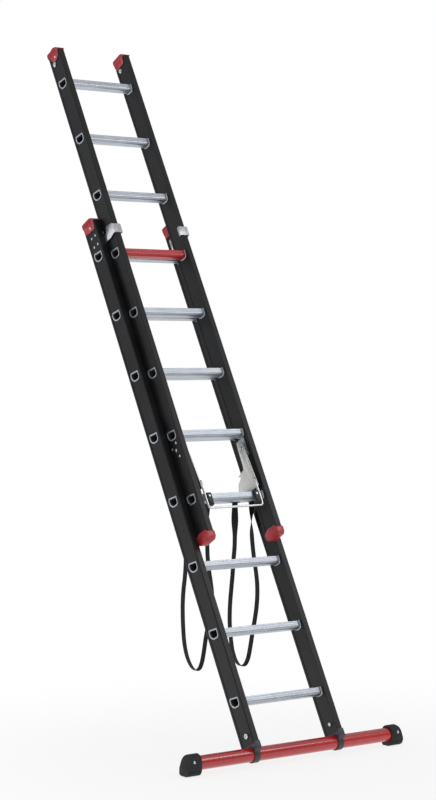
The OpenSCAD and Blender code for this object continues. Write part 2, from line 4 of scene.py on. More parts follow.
import bmesh
import bpy
import numpy as np
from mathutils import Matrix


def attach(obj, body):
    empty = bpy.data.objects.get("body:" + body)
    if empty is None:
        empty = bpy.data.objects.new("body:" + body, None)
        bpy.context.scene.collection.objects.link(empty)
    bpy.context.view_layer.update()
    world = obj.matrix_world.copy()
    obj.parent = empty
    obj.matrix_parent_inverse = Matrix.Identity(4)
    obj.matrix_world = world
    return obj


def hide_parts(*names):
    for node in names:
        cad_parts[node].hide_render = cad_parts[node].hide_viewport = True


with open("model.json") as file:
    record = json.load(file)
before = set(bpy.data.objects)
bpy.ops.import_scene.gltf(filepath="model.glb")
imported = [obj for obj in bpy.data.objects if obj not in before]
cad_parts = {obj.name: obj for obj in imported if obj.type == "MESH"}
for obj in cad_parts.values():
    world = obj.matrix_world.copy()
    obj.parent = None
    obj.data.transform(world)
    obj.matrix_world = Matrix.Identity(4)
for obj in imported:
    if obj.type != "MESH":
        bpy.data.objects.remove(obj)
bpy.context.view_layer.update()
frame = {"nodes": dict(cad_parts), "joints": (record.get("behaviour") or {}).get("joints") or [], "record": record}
nodes = frame["nodes"]
print("frame loaded,", len(nodes), "nodes")

mm = 0.001

# ---- camera ----

view = {"eye": (-4.352, -5.350, 1.3934), "yaw": 36.93, "pitch": -1.36, "lens": 91.2}

camData = bpy.data.cameras.new("camera")
camData.lens = view["lens"]
camData.clip_end = 60
camera = bpy.data.objects.new("camera", camData)
bpy.context.scene.collection.objects.link(camera)
camera.location = view["eye"]
camera.rotation_euler = (radians(90 + view["pitch"]), 0, -radians(view["yaw"]))
bpy.context.scene.camera = camera

# ---- the ladder's own lengthwise frame ----

# A point (x, y, z) of a section is in millimetres, y from front to back and z along
# the stiles. The lean comes from the axis that the fly section slides on.
slideAxis = [j for j in frame["joints"] if j["name"] == "fly_slide"][0]["axis"]
leanSin, leanCos = float(slideAxis[1]), float(slideAxis[2])
lay = {"barHeight": 40.0, "barY": 31.1, "flyForward": 62.0, "flyRaise": 728.6,
       "pitch": 250.0, "firstRung": 196.5, "sectionTop": 2092.0,
       "baseHalf": 196.0, "flyHalf": 165.0, "stileWidth": 25.0}


def toWorld(p, fly=False):
    # Shifts the fly section, then turns about the bar's axis by the lean
    p = np.asarray(p, float)
    y, z = p[..., 1] - lay["barY"], p[..., 2]
    if fly:
        y, z = y - lay["flyForward"], z + lay["flyRaise"]
    return np.stack([p[..., 0], y * leanCos + z * leanSin,
                     lay["barHeight"] - y * leanSin + z * leanCos], -1) * mm


def turnWorld(d):
    # Same turn for a direction
    d = np.asarray(d, float)
    return np.stack([d[..., 0], d[..., 1] * leanCos + d[..., 2] * leanSin,
                     -d[..., 1] * leanSin + d[..., 2] * leanCos], -1)


# ---- shader maths ----


class Wire:
    # One output socket, so that a pattern is written as plain sums on wires

    def __init__(self, tree, socket=None):
        self.tree, self.socket = tree, socket

    def node(self, kind, settings, values, out=0):
        made = self.tree.nodes.new("ShaderNode" + kind)
        for name, value in settings.items():
            if name == "stops":
                ramp = made.color_ramp
                while len(ramp.elements) < len(value):
                    ramp.elements.new(0.5)
                for element, (at, colour) in zip(ramp.elements, value):
                    element.position, element.color = at, (*colour, 1)
            else:
                setattr(made, name, value)
        for key, value in values.items():
            if isinstance(value, Wire):
                self.tree.links.new(value.socket, made.inputs[key])
            else:
                made.inputs[key].default_value = value
        return Wire(self.tree, made.outputs[out])

    def math(self, operation, *parts):
        return self.node("Math", {"operation": operation}, dict(enumerate(parts)))

    def __add__(self, other):
        return self.math("ADD", self, other)

    def __sub__(self, other):
        return self.math("SUBTRACT", self, other)

    def __rsub__(self, other):
        return self.math("SUBTRACT", other, self)

    def __mul__(self, other):
        return self.math("MULTIPLY", self, other)

    def __truediv__(self, other):
        return self.math("DIVIDE", self, other)

    def __rtruediv__(self, other):
        return self.math("DIVIDE", other, self)

    __radd__ = __add__
    __rmul__ = __mul__

    def step(self, low, high):
        return self.node("MapRange", {"interpolation_type": "SMOOTHSTEP"},
                         {0: self, 1: low, 2: high, 3: 0.0, 4: 1.0})

    def tint(self, dark, light):
        # A colour between two, by this wire
        return self.node("Mix", {"data_type": "RGBA"},
                         {0: self, 6: (*dark, 1), 7: (*light, 1)}, out=2)

    def over(self, under, colour):
        # Lays a flat colour or another wire over a colour wire where this wire is 1
        top = colour if isinstance(colour, Wire) else (*colour, 1)
        return self.node("Mix", {"data_type": "RGBA"}, {0: self, 6: under, 7: top}, out=2)

    def grain(self, scale, detail=3.0, rough=0.55):
        # Noise at this place, about 0 to 1
        return self.node("TexNoise", {}, {"Vector": self, "Scale": scale, "Detail": detail,
                                          "Roughness": rough})

    def cells(self, scale):
        return self.node("TexVoronoi", {}, {"Vector": self, "Scale": scale})

    def stretched(self, scale, turn=(0, 0, 0)):
        return self.node("Mapping", {}, {"Vector": self, "Rotation": turn, "Scale": scale})

    def part(self, axis):
        return self.node("SeparateXYZ", {}, {0: self}, out=axis)


# ---- materials ----


def newMaterial(name, metallic=0.0, coat=0.0, coatRough=0.1, specular=0.5):
    # Gives the shader and its tree; what is the same all over is set on the shader's sockets
    material = bpy.data.materials.new(name)
    material.use_nodes = True
    tree = material.node_tree
    shader = tree.nodes["Principled BSDF"]
    shader.inputs["Metallic"].default_value = metallic
    shader.inputs["Coat Weight"].default_value = coat
    shader.inputs["Coat Roughness"].default_value = coatRough
    shader.inputs["Specular IOR Level"].default_value = specular
    return material, tree, shader


def place(tree):
    # Where a point is on the piece, in metres
    return Wire(tree).node("TexCoord", {}, {}, out=3)


def along(tree):
    # The same, turned so that z runs along the stiles
    return place(tree).stretched((1, 1, 1), (asin(leanSin), 0, 0))


def plug(tree, shader, colour, rough, height=None, strength=0.3, distance=0.0004):
    tree.links.new(colour.socket, shader.inputs["Base Color"])
    tree.links.new(rough.socket, shader.inputs["Roughness"])
    if height is not None:
        bump = height.node("Bump", {}, {"Strength": strength, "Distance": distance,
                                        "Height": height})
        tree.links.new(bump.socket, shader.inputs["Normal"])


def blackCoat():
    # Satin black coating with drawing lines along the extrusion and faint handling marks
    material, tree, shader = newMaterial("stileBlack", specular=0.3)
    at = along(tree)
    lines = at.stretched((900, 900, 3)).grain(1.0, 2.0)
    cloud = at.grain(9.0, 4.0)
    scuff = at.stretched((260, 260, 30)).grain(1.0, 5.0, 0.7).step(0.66, 0.74)
    speck = at.grain(1400.0, 1.0)
    colour = (lines * 0.5 + cloud * 0.5).step(0.3, 0.75).tint((0.006, 0.0063, 0.007),
                                                             (0.016, 0.0165, 0.018))
    colour = (scuff * 0.4).over(colour, (0.04, 0.041, 0.044))
    rough = lines * 0.12 + cloud * 0.16 + scuff * 0.1 + 0.24
    plug(tree, shader, colour, rough, lines * 0.7 + speck * 0.3, 0.25, 0.00012)
    return material


bareMetal = (0.42, 0.455, 0.50), (0.60, 0.635, 0.68)


def rungMetal(name, dark, light, metallic, coat):
    # Extruded rung: draw lines along its length, wiped dull patches, painted shade in the bore (nearly black, not
    # metallic); where the attribute bare is 1 it shows plain metal
    material, tree, shader = newMaterial(name, metallic=metallic, coat=coat, coatRough=0.2)
    at = place(tree)
    bore = Wire(tree).node("Attribute", {"attribute_name": "bore"}, {}, out=2)
    bare = Wire(tree).node("Attribute", {"attribute_name": "bare"}, {}, out=2)
    lines = at.stretched((4, 1500, 1500)).grain(1.0, 2.0)
    cloud = at.stretched((14, 60, 60)).grain(1.0, 4.0)
    worn = at.stretched((30, 160, 160)).grain(1.0, 5.0, 0.65).step(0.55, 0.75)
    colour = (lines * 0.45 + cloud * 0.55).step(0.3, 0.72).tint(dark, light)
    colour = bare.over(colour, cloud.tint(*bareMetal))
    # Painted shade: the bore is coloured nearly black to stand in for the shade inside the tube
    colour = (bore * 0.97).over(colour, (0.006, 0.006, 0.007))
    rough = lines * 0.06 + cloud * 0.12 + worn * 0.10 + bore * 0.4 + 0.33
    plug(tree, shader, colour, rough, lines, 0.10, 0.00006)
    metal = bare * (1 - metallic) + metallic
    # The painted bore shade also turns the metal off there
    tree.links.new((metal * (1 - bore)).socket, shader.inputs["Metallic"])
    return material


def moulded(name, dark, light, rough, grainScale, specular=0.5, coat=0.0):
    # Injection-moulded plastic: spark-eroded grain, flow clouding and rubbed high spots; the clouding and the
    # lighter spots are partly painted speckled highlights
    material, tree, shader = newMaterial(name, specular=specular, coat=coat, coatRough=0.25)
    at = place(tree)
    spark = at.grain(grainScale, 2.0)
    pits = at.cells(grainScale * 0.9)
    flowAndSheen = at.stretched((1, 2.5, 1)).grain(45.0, 4.0)
    rub = at.grain(170.0, 5.0, 0.7).step(0.56, 0.72)
    # Clouded colour: partly moulding flow, partly painted mottled highlights
    colour = (flowAndSheen * 0.7 + spark * 0.3).step(0.28, 0.72).tint(dark, light)
    # Lighter spots: partly rubbed high spots, partly painted speckled highlights
    colour = (rub * 0.25).over(colour, tuple(min(1, 1.5 * c + 0.03) for c in light))
    plug(tree, shader, colour, flowAndSheen * 0.16 + spark * 0.12 + rub * 0.08 + (rough - 0.14),
         spark * 0.6 + pits * 0.4, 0.35, 0.00018)
    return material


def plated(name, dark, light, rough, spangle):
    # Zinc-plated or polished steel: crystals of slightly different shade, fine wipe lines
    material, tree, shader = newMaterial(name, metallic=1.0)
    at = place(tree)
    crystals = at.node("TexVoronoi", {}, {"Vector": at, "Scale": spangle}, out=1).part(0)
    wipe = at.stretched((900, 120, 120), (0.3, 0.2, 0.4)).grain(1.0, 3.0)
    dust = at.grain(60.0, 5.0, 0.7)
    colour = (crystals * 0.35 + wipe * 0.3 + dust * 0.35).step(0.2, 0.8).tint(dark, light)
    plug(tree, shader, colour, crystals * 0.1 + dust * 0.16 + wipe * 0.08 + (rough - 0.16),
         wipe * 0.5 + dust * 0.5, 0.2, 0.00008)
    return material


def barPaint():
    # Glossy red powder coat over the tube: orange peel, dust specks, faint rub marks
    material, tree, shader = newMaterial("barRed", coat=0.8, coatRough=0.06)
    at = place(tree)
    peel = at.grain(420.0, 2.0)
    cloud = at.stretched((3, 12, 12)).grain(1.0, 4.0)
    rub = at.stretched((18, 260, 260)).grain(1.0, 5.0, 0.7).step(0.6, 0.74)
    colour = cloud.step(0.3, 0.7).tint((0.42, 0.006, 0.010), (0.52, 0.009, 0.013))
    colour = (rub * 0.15).over(colour, (0.66, 0.08, 0.08))
    plug(tree, shader, colour, peel * 0.08 + cloud * 0.12 + rub * 0.12 + 0.16, peel, 0.18, 0.00015)
    return material


def rubber():
    # Hard rubber: coarse moulded grain and a dusty bloom in its hollows
    material, tree, shader = newMaterial("footRubber", specular=0.35)
    at = place(tree)
    grit = at.grain(1100.0, 3.0)
    bloom = at.grain(55.0, 5.0, 0.65)
    colour = (bloom * 0.7 + grit * 0.3).step(0.35, 0.7).tint((0.008, 0.0085, 0.009),
                                                            (0.024, 0.025, 0.026))
    plug(tree, shader, colour, bloom * 0.2 + grit * 0.15 + 0.4, grit, 0.5, 0.0003)
    return material


def webbing(name, mark):
    # Woven strap: herringbone of fine yarns, thicker selvedges, a dashed red tracer or stitching.
    # clothAt holds (across, along) in metres
    material, tree, shader = newMaterial(name, specular=0.25)
    at = Wire(tree).node("Attribute", {"attribute_name": "clothAt"}, {}, out=1)
    u, v = at.part(0), at.part(1)
    fold = (u / 0.0052).math("PINGPONG", 0.5)
    rib = ((v / 0.0019 + fold * 2.4) * (2 * pi)).math("SINE") * 0.5 + 0.5
    yarn = ((u / 0.00062) * (2 * pi)).math("SINE") * 0.5 + 0.5
    fuzz = at.stretched((1, 1, 1)).grain(2600.0, 3.0)
    edge = u.math("ABSOLUTE").step(0.0086, 0.0098)
    height = rib * 0.5 + yarn * 0.3 + edge * 0.5 + fuzz * 0.2
    colour = (rib * 0.5 + yarn * 0.2 + fuzz * 0.3).step(0.2, 0.85).tint((0.004, 0.004, 0.005),
                                                                      (0.022, 0.022, 0.025))
    if mark == "tracer":
        dash = ((v / 0.182).math("FRACT") - 0.5).math("ABSOLUTE")
        mask = (1 - dash.step(0.10, 0.12)) * (1 - u.math("ABSOLUTE").step(0.0062, 0.0072))
        colour = (mask * (rib * 0.5 + 0.5)).over(colour, (0.42, 0.03, 0.045))
    else:
        dash = ((v / 0.0042).math("FRACT") - 0.5).math("ABSOLUTE")
        line = (u.math("ABSOLUTE") - 0.0078).math("ABSOLUTE")
        mask = (1 - dash.step(0.3, 0.36)) * (1 - line.step(0.0003, 0.0005))
        colour = mask.over(colour, (0.10, 0.10, 0.105))
        height = height + mask * 0.9
    plug(tree, shader, colour, fuzz * 0.2 + rib * 0.1 + 0.62, height, 0.8, 0.0003)
    return material


looks = {
    "stile_black": blackCoat(),
    "rung_aluminium": rungMetal("rungAluminium", *bareMetal, 1.0, 0.0),
    "rung_red": rungMetal("rungRed", (0.42, 0.02, 0.028), (0.56, 0.032, 0.04), 0.35, 0.5),
    "cap_red": moulded("capRed", (0.34, 0.014, 0.020), (0.56, 0.028, 0.034), 0.36, 900.0, coat=0.15),
    "bracket_steel": plated("bracketSteel", (0.40, 0.41, 0.43), (0.66, 0.67, 0.69), 0.38, 260.0),
    "fastener": plated("fastenerZinc", (0.55, 0.56, 0.58), (0.86, 0.87, 0.88), 0.24, 900.0),
    "plastic_black": moulded("plasticBlack", (0.007, 0.007, 0.008), (0.02, 0.02, 0.022), 0.42, 900.0),
    "collar_grey": moulded("collarGrey", (0.024, 0.026, 0.029), (0.05, 0.053, 0.058), 0.42, 850.0),
    "bar_red": barPaint(),
    "foot_rubber": rubber(),
    "webbing": webbing("strapWeb", "tracer"),
    "webbing_ends": webbing("strapEndWeb", "stitch"),
    "hook_steel": plated("hookSteel", (0.50, 0.50, 0.485), (0.74, 0.74, 0.72), 0.40, 420.0),
    "rod_steel": plated("rodSteel", (0.62, 0.63, 0.65), (0.88, 0.89, 0.90), 0.20, 1200.0),
}
print("materials made:", len(looks))

slotOf = {s["node"]: s["material_slot"] for s in frame["record"]["subparts"]}


def dress(name):
    # The look that goes with a node's slot
    return looks[slotOf[name]]


for name, piece in nodes.items():
    piece.data.materials.clear()
    piece.data.materials.append(dress(name))

# ---- mesh helpers ----


def gridFaces(rows, columns, closeRows, closeColumns):
    # Quads between neighbours of a rows x columns grid, wrapping where it closes
    i = np.arange(rows if closeRows else rows - 1)[:, None]
    j = np.arange(columns if closeColumns else columns - 1)[None, :]
    up, side = (i + 1) % rows, (j + 1) % columns
    quads = [i * columns + j, up * columns + j, up * columns + side, i * columns + side]
    return np.stack(np.broadcast_arrays(*quads), -1).reshape(-1, 4)


def facesOut(points, faces):
    # A closed shell whose signed volume is negative is inside out: turns its faces
    a, b, c, d = (points[faces[:, k]] for k in range(4))
    volume = (np.cross(b - a, c - a) * a).sum() + (np.cross(c - a, d - a) * a).sum()
    return faces[:, ::-1] if volume < 0 else faces


def shellMesh(name, shells, material, body, stands=(), smooth=True):
    # One piece from several closed grids, each (points, faces, {attribute: values})
    points, faces, extra, start = [], [], {}, 0
    for shellPoints, shellFaces, attributes in shells:
        points.append(shellPoints)
        faces.append(facesOut(shellPoints, shellFaces) + start)
        start += len(shellPoints)
        for key, values in attributes.items():
            extra.setdefault(key, []).append(values)
    points, faces = np.concatenate(points), np.concatenate(faces)
    mesh = bpy.data.meshes.new(name)
    mesh.from_pydata(points.tolist(), [], faces.tolist())
    mesh.polygons.foreach_set("use_smooth", [smooth] * len(faces))
    for key, values in extra.items():
        values = np.concatenate(values)
        kind, field = ("FLOAT", "value") if values.ndim == 1 else ("FLOAT_VECTOR", "vector")
        layer = mesh.attributes.new(key, kind, "POINT")
        layer.data.foreach_set(field, values.ravel().astype(np.float32))
    mesh.update()
    return finished(name, mesh, material, body, stands)


def finished(name, mesh, material, body, stands):
    mesh.materials.clear()
    mesh.materials.append(material)
    piece = bpy.data.objects.new(name, mesh)
    bpy.context.scene.collection.objects.link(piece)
    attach(piece, body)
    if stands:
        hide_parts(*stands)
    return piece


def poleGrid(points):
    # Closes a grid of rings whose first and last ring are single points: the same point
    # is repeated round the ring, then merged
    rows, columns = points.shape[:2]
    return points.reshape(-1, 3), gridFaces(rows, columns, False, True)


def mergePoles(piece):
    shape = bmesh.new()
    shape.from_mesh(piece.data)
    bmesh.ops.remove_doubles(shape, verts=shape.verts, dist=1e-6)
    bmesh.ops.dissolve_degenerate(shape, dist=1e-7, edges=shape.edges)
    shape.to_mesh(piece.data)
    shape.free()
    piece.data.update()


def turned(rings, centre, axis, upward, sides=28):
    # A turned head: every ring is (height, radius, flats). The point at angle a lies at
    # centre + height axis + radius (cos a across + sin a up); flats 6 makes the ring a hexagon
    axis, upward = np.asarray(axis, float), np.asarray(upward, float)
    across = np.cross(upward, axis)
    height, radius, flats = (np.array([r[k] for r in rings], float)[:, None] for k in range(3))
    a = np.linspace(0, 2 * pi, sides, endpoint=False)[None, :]
    sector = pi / np.maximum(flats, 1)
    hexed = np.cos(sector) / np.cos((a + 0.2) % (2 * sector) - sector)
    radius = np.where(flats > 2, radius * hexed, radius * np.ones_like(a))
    spot = (np.cos(a)[..., None] * across + np.sin(a)[..., None] * upward) * radius[..., None]
    points = np.asarray(centre, float) + (spot + height[..., None] * axis) * mm
    flat, faces = poleGrid(points)
    return flat, faces, {}


def bevelCopy(name, nodeNames, width, body, segments=2, limit=28):
    # A copy of CAD nodes with its doubles merged, flat areas joined and hard edges rounded,
    # as moulded and pressed parts are
    shape = bmesh.new()
    for nodeName in nodeNames:
        shape.from_mesh(nodes[nodeName].data)
    bmesh.ops.remove_doubles(shape, verts=shape.verts, dist=2e-6)
    bmesh.ops.dissolve_limit(shape, angle_limit=radians(1.0), verts=shape.verts, edges=shape.edges)
    mesh = bpy.data.meshes.new(name)
    shape.to_mesh(mesh)
    shape.free()
    mesh.polygons.foreach_set("use_smooth", [True] * len(mesh.polygons))
    first = nodeNames[0]
    piece = finished(name, mesh, dress(first), body, nodeNames)
    bevel = piece.modifiers.new("edges", "BEVEL")
    bevel.width = width * mm
    bevel.segments = segments
    bevel.limit_method = "ANGLE"
    bevel.angle_limit = radians(limit)
    bevel.harden_normals = True
    bevel.use_clamp_overlap = True
    return piece

# ---- straps, the cords of the ladder ----

strap = {"width": 25.0, "thick": 2.4, "turnOver": 130.0, "rung": 4, "bellyY": 29.5, "bellyZ": -4.0,
         "below": 22.0, "steps": 6,
         "left": [(-143, 0), (-143, 30), (-143, 70), (-142, 110), (-140, 155), (-139, 205),
                  (-143, 255), (-149, 300), (-152, 345), (-152, 390), (-150, 435), (-146, 480),
                  (-138, 520), (-126, 553), (-110, 578), (-94, 589), (-78, 583), (-67, 560),
                  (-59, 525), (-51, 480), (-42, 440), (-32, 400), (-25, 360), (-23, 320),
                  (-28, 280), (-36, 235), (-42, 190), (-44, 145), (-44, 100), (-44, 65),
                  (-44, 30), (-44, 0)],
         "right": [(80, 0), (80, 30), (80, 65), (80, 105), (79, 155), (74, 205), (70, 255),
                  (65, 300), (60, 345), (57, 390), (57, 435), (61, 480), (68, 525), (80, 560),
                  (95, 583), (112, 592), (128, 587), (141, 565), (151, 525), (161, 475),
                  (171, 430), (179, 385), (183, 340), (182, 295), (176, 250), (168, 205),
                  (161, 155), (157, 110), (156, 70), (156, 30), (156, 0)]}


def smoothRoute(route, steps):
    # Cubic through every given point: each stretch uses its two ends and the slopes (next - previous) / 2 at them
    p = np.array(route, float)
    slope = np.gradient(p, axis=0)
    t = np.linspace(0, 1, steps, endpoint=False)[None, :, None]
    a, b, m, n = p[:-1, None], p[1:, None], slope[:-1, None], slope[1:, None]
    spot = ((2 * t**3 - 3 * t**2 + 1) * a + (t**3 - 2 * t**2 + t) * m
            + (3 * t**2 - 2 * t**3) * b + (t**3 - t**2) * n)
    return np.concatenate([spot.reshape(-1, p.shape[1]), p[-1:]])


def flatBand(width, thick, count=20):
    # Outline of a flat band: a long ellipse with its ends squared, (across, through)
    a = (np.arange(count) + 0.5) * 2 * pi / count
    across = width / 2 * np.sign(np.cos(a)) * np.abs(np.cos(a)) ** 0.45
    through = thick / 2 * np.sign(np.sin(a)) * np.abs(np.sin(a)) ** 0.7
    return across, through


def hangingStrap(name, node, route):
    # The band is carried down the route with its width along X at the rung, turning a
    # quarter to lie front to back as it drops, and turning back where it rises
    flat = smoothRoute(route, strap["steps"])
    rungZ = lay["firstRung"] + (strap["rung"] - 1) * lay["pitch"] + strap["bellyZ"]
    hang = toWorld((0, strap["bellyY"], rungZ)) / mm - np.array((0, 0, strap["below"]))
    heading = np.gradient(flat, axis=0)
    heading /= np.linalg.norm(heading, axis=1)[:, None]
    turn = -pi / 2 * (1 - np.cos(pi * np.minimum(flat[:, 1] / strap["turnOver"], 1))) / 2
    across, through = flatBand(strap["width"], strap["thick"])
    run = np.concatenate([[0], np.cumsum(np.linalg.norm(np.diff(flat, axis=0), axis=1))])
    inPlane = across * np.cos(turn)[:, None] - through * np.sin(turn)[:, None]
    front = across * np.sin(turn)[:, None] + through * np.cos(turn)[:, None]
    points = np.stack([flat[:, :1] + heading[:, 1:] * inPlane,
                       hang[1] + front,
                       hang[2] - flat[:, 1:] + heading[:, :1] * inPlane], -1) * mm
    rows, columns = points.shape[:2]
    cloth = np.stack([np.broadcast_to(across, (rows, columns)) * mm,
                      np.broadcast_to(run[:, None], (rows, columns)) * mm,
                      np.zeros((rows, columns))], -1)
    ends = [points.mean(1)[k] for k in (0, -1)]
    grid = np.concatenate([np.broadcast_to(ends[0], (1, columns, 3)), points,
                           np.broadcast_to(ends[1], (1, columns, 3))])
    cloth = np.concatenate([cloth[:1] * (0, 1, 1), cloth, cloth[-1:] * (0, 1, 1)])
    flatPoints, faces = poleGrid(grid)
    piece = shellMesh(name, [(flatPoints, faces, {"clothAt": cloth.reshape(-1, 3)})],
                      looks["webbing"], "base", [node])
    mergePoles(piece)
    print(name, "length", round(float(run[-1]) * mm, 3), "m")
    return piece


hangingStrap("strapLoopLeft", "strap_left", strap["left"])
hangingStrap("strapLoopRight", "strap_right", strap["right"])

# ---- rungs ----

rung = {"front": 7.5, "depth": 44.0, "bellyZ": -4.0, "heelR": 10.5, "heelZ": -16.0, "rise": 0.18,
        "wall": 2.0, "flare": 3.4, "channel": 1.2, "ribs": 0.38, "ribPitch": 4.4, "count": 176,
        "red": 5}


def arc(centre, radius, start, end, count=160):
    a = np.linspace(start, end, count)
    return np.stack([centre[0] + radius * np.cos(a), centre[1] + radius * np.sin(a)], -1)


def rungOutline():
    # Tread line, then the round back and belly, the flat underside, the round heel and the
    # upright front, blurred a little so that its corners are rounded. Gives points and
    # outward directions as (y, z), and how far round each one is
    front, depth, rise = rung["front"], rung["depth"], rung["rise"]
    r = depth / 2
    centre = np.array((front + r, rung["bellyZ"]))
    # Where the tread's line z = rise (y - front) meets the belly's circle
    k, m = 1 + rise**2, rise * (-rise * front - centre[1])
    b = (m - centre[0]) / k
    c = (centre[0] ** 2 + (rise * front + centre[1]) ** 2 - r**2) / k
    meetY = -b + np.sqrt(b * b - c)
    meet = np.array((meetY, rise * (meetY - front)))
    topAngle = atan2(meet[1] - centre[1], meet[0] - centre[0])
    line = np.concatenate([
        np.linspace((front, 0), meet, 200)[:-1],
        arc(centre, r, topAngle, -pi / 2, 300)[:-1],
        arc((front + rung["heelR"], rung["heelZ"]), rung["heelR"], -pi / 2, -pi, 160)[:-1],
        np.linspace((front, rung["heelZ"]), (front, 0), 120)])
    run = np.concatenate([[0], np.cumsum(np.linalg.norm(np.diff(line, axis=0), axis=1))])
    even = np.linspace(0, run[-1], 2000, endpoint=False)
    dense = np.stack([np.interp(even, run, line[:, k]) for k in range(2)], -1)
    kernel = np.hanning(41)
    kernel /= kernel.sum()
    padded = np.concatenate([dense[-20:], dense, dense[:20]])
    dense = np.stack([np.convolve(padded[:, k], kernel, "valid") for k in range(2)], -1)
    along2 = np.roll(dense, -1, 0) - np.roll(dense, 1, 0)
    along2 /= np.linalg.norm(along2, axis=1)[:, None]
    outward = np.stack([-along2[:, 1], along2[:, 0]], -1)
    pick = np.linspace(0, 2000, rung["count"], endpoint=False).astype(int)
    return dense[pick], outward[pick], even[pick]


rungLine, rungOut, rungRun = rungOutline()


def ribbing():
    # How far each outline point sinks for the anti-slip ribs of the tread and the two fine
    # lines on the front: a raised cosine of the distance across
    y, z = rungLine[:, 0], rungLine[:, 1]
    onTread = (rungOut[:, 1] > 0.9) & (y > rung["front"] + 4) & (y < rung["front"] + 37)
    tread = 0.5 - 0.5 * np.cos(2 * pi * (y - rung["front"] - 4) / rung["ribPitch"])
    onFront = (rungOut[:, 0] < -0.9) & (z < -3)
    lines = np.exp(-((z + 6) / 0.9) ** 2) + np.exp(-((z + 13) / 0.9) ** 2)
    return np.where(onTread, rung["ribs"] * tread, 0) + np.where(onFront, 0.35 * lines, 0)


def rungShell(half, fly, number):
    # The outline carried along X; at every station it stands out by g along its outward
    # directions. Outside from end to end, rolled over the flared ring, and back down the bore
    outer, inner = half - rung["channel"], half - lay["stileWidth"] + rung["channel"]
    flare, wall = rung["flare"], rung["wall"]
    # Each station is (x, how far it stands out, how much ribbing, how much painted shade the bore gets)
    right = [(0.0, 0.0, 1, 0), (inner - 30, 0.0, 1, 0), (inner - 6, 0.0, 1, 0), (inner - 3.6, 0.1, 0.6, 0),
             (inner - 2.6, 0.9, 0, 0), (inner - 2.2, 1.7, 0, 0), (inner - 1.3, flare - 1, 0, 0),
             (inner - 0.4, flare - 1.1, 0, 0), (inner, flare - 1.6, 0, 0), (inner + 0.05, 0.1, 0, 0),
             (outer - 0.3, 0.1, 0, 0), (outer, 0.3, 0, 0), (outer, flare - 0.3, 0, 0),
             (outer + 0.35, flare, 0, 0), (outer + 0.95, flare - 0.15, 0, 0), (outer + 1.4, flare - 0.8, 0, 0),
             (outer + 1.6, flare - 1.7, 0, 0), (outer + 1.55, 0.2, 0, 0), (outer + 1.2, -1.0, 0, 0),
             (outer + 0.5, -1.7, 0, 0.2), (outer - 1.0, -wall, 0, 0.9), (outer - 8, -wall, 0, 1),
             (0.0, -wall, 0, 1)]
    left = [(-x, g, ribs, bore) for x, g, ribs, bore in right[1:-1]]
    loop = left[::-1] + right
    # Starts in the middle of the bore, out along the left end, across and back: a closed loop
    x, g, ribs, bore = (np.array([s[k] for s in loop], float) for k in range(4))
    stand = g[:, None] - ribs[:, None] * ribbing()[None, :]
    line = rungLine[None] + stand[..., None] * rungOut[None]
    z = lay["firstRung"] + (number - 1) * lay["pitch"] + line[..., 1]
    points = toWorld(np.stack([np.broadcast_to(x[:, None], z.shape), line[..., 0], z], -1), fly)
    rows, columns = points.shape[:2]
    faces = gridFaces(rows, columns, True, True)
    bare = np.clip(abs(x) - inner + 3.6, 0, 1)
    return points.reshape(-1, 3), faces, {"bore": np.repeat(bore, columns),
                                          "bare": np.repeat(bare, columns)}


for number in range(1, 9):
    for section, half, fly in (("base", lay["baseHalf"], False), ("fly", lay["flyHalf"], True)):
        node = "%s_rung_%d" % (section, number)
        shellMesh("%sRung%d" % (section, number), [rungShell(half, fly, number)], dress(node),
                  section, [node])
print("rungs made")

# ---- sewn ends of the straps ----

sewn = {"gap": 0.2, "thick": 0.8, "xs": (-143.0, -44.0, 80.0, 156.0)}


def sewnEnd(x):
    # A flat band wrapped once round the rung's outline: at each outline point its
    # cross-section stands out along the outward direction and runs across X
    across, through = flatBand(strap["width"], sewn["thick"])
    stand = sewn["gap"] + sewn["thick"] / 2 + through
    line = rungLine[:, None] + stand[None, :, None] * rungOut[:, None]
    z = lay["firstRung"] + (strap["rung"] - 1) * lay["pitch"] + line[..., 1]
    points = toWorld(np.stack([np.broadcast_to(x + across, z.shape), line[..., 0], z], -1))
    rows, columns = points.shape[:2]
    cloth = np.stack([np.broadcast_to(across, (rows, columns)) * mm,
                      np.broadcast_to(rungRun[:, None], (rows, columns)) * mm,
                      np.zeros((rows, columns))], -1)
    faces = gridFaces(rows, columns, True, True)
    return points.reshape(-1, 3), faces, {"clothAt": cloth.reshape(-1, 3)}


shellMesh("strapEnds", [sewnEnd(x) for x in sewn["xs"]], looks["webbing_ends"], "base",
          ["strap_sleeves"])

# ---- rivets, bolts and screws ----

top = lay["sectionTop"]
fixings = {
    "rivet": (4.6, 1.4, 2.4), "plate": 3, "bracketZ": top - 91, "bracketYs": (12, 38), "bracketZs": (-21, 16),
    "endBolt": (20.0, 29.0 + 33.5), "capScrew": (23.0, top - 38), "hingeBolt": (42.0, top - 59.8),
    "bearing": (29.5, 1106.0 - 728.6), "bearingAt": ((-10, 25), (20, 13), (-10, -26)),
    "cheek": 2.0, "block": (120.0 - 14.5, 184.0)}


def sides(places):
    return [(s, p) for s in (-1, 1) for p in places]


def headAt(rings, x, y, z, side, fly, count=28):
    # A head on a stile, its axis along X and outward on that side
    centre = toWorld((side * x, y, z), fly)
    return turned(rings, centre, (side, 0, 0), turnWorld((0, 0, 1)), count)


def fixingPiece(name, node, body, shells):
    piece = shellMesh(name, shells, dress(node), body, [node])
    mergePoles(piece)
    return piece


